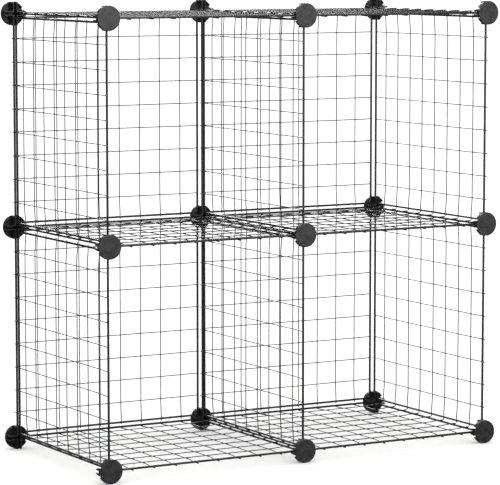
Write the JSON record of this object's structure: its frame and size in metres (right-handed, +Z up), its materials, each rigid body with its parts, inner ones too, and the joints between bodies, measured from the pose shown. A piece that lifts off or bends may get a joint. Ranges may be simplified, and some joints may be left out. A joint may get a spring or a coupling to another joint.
{
  "type": "cube storage unit",
  "caption": "Open-front storage cubes in a square block, made of welded wire mesh panels clipped together by round plastic corner connectors.",
  "frame": {"origin": "on the floor under the middle of the unit", "axes": "+Z up, the open front faces -Y, +X to the right seen from the front"},
  "size_m": [0.76, 0.3654, 0.76],
  "materials": {
    "wire": "black powder-coated steel wire, satin to semi-gloss",
    "connector": "black moulded plastic with a fine satin grain"
  },
  "bodies": {
    "root": {"back_panel_bottom_left": "wire", "back_panel_bottom_right": "wire", "back_panel_top_left": "wire", "back_panel_top_right": "wire", "side_panel_left_bottom": "wire", "side_panel_left_top": "wire", "divider_panel_bottom": "wire", "divider_panel_top": "wire", "side_panel_right_bottom": "wire", "side_panel_right_top": "wire", "floor_panel_left": "wire", "floor_panel_right": "wire", "shelf_panel_left": "wire", "shelf_panel_right": "wire", "top_panel_left": "wire", "top_panel_right": "wire", "connector_front_bottom_left": "connector", "connector_front_bottom_center": "connector", "connector_front_bottom_right": "connector", "connector_front_middle_left": "connector", "connector_front_middle_center": "connector", "connector_front_middle_right": "connector", "connector_front_top_left": "connector", "connector_front_top_center": "connector", "connector_front_top_right": "connector", "connector_back_bottom_left": "connector", "connector_back_bottom_center": "connector", "connector_back_bottom_right": "connector", "connector_back_middle_left": "connector", "connector_back_middle_center": "connector", "connector_back_middle_right": "connector", "connector_back_top_left": "connector", "connector_back_top_center": "connector", "connector_back_top_right": "connector"}
  },
  "joints": []
}
